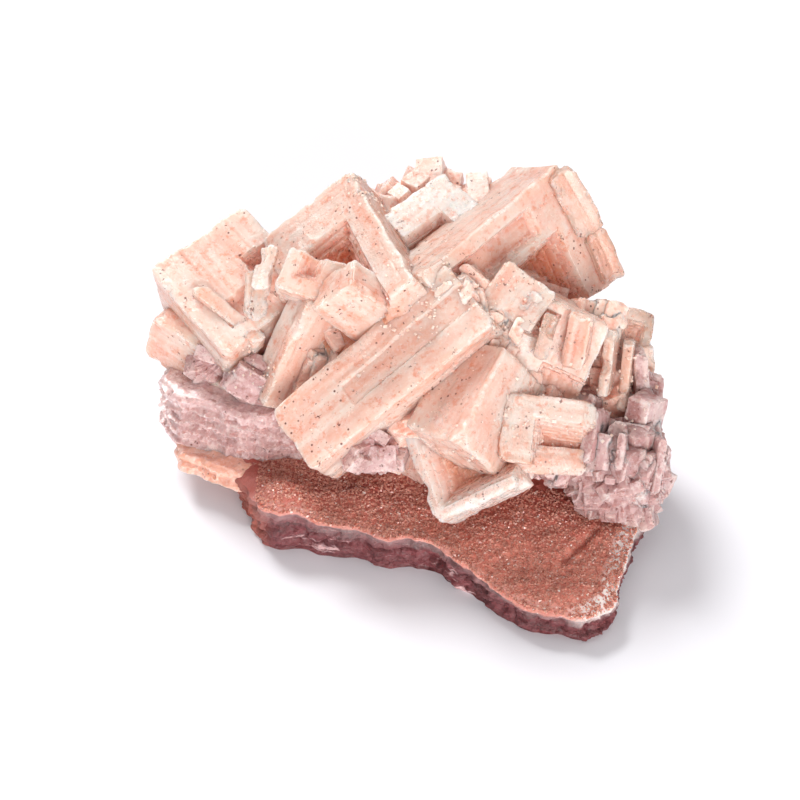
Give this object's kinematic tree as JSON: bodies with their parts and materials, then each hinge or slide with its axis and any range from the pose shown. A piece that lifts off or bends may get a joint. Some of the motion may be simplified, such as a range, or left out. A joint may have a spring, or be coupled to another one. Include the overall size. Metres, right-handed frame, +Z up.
{
  "type": "halite crystal cluster",
  "caption": "Cluster of intergrown pink hopper-faced halite cubes on a slab of granular salt crust, resting on its flat underside.",
  "frame": {"origin": "on the floor under the middle of the bounding box", "axes": "+Z up, +X to the right of the long front edge, -Y toward the front"},
  "size_m": [0.112, 0.0906, 0.0629],
  "materials": {
    "halite": "translucent peach-pink crystal, satin faces with fine growth lines and frosted edges",
    "salt_crust": "granular reddish salt crust, paler and foliated on its broken edges"
  },
  "bodies": {
    "root": {"crystal_cluster": "halite", "crust_slab": "salt_crust"}
  },
  "joints": []
}
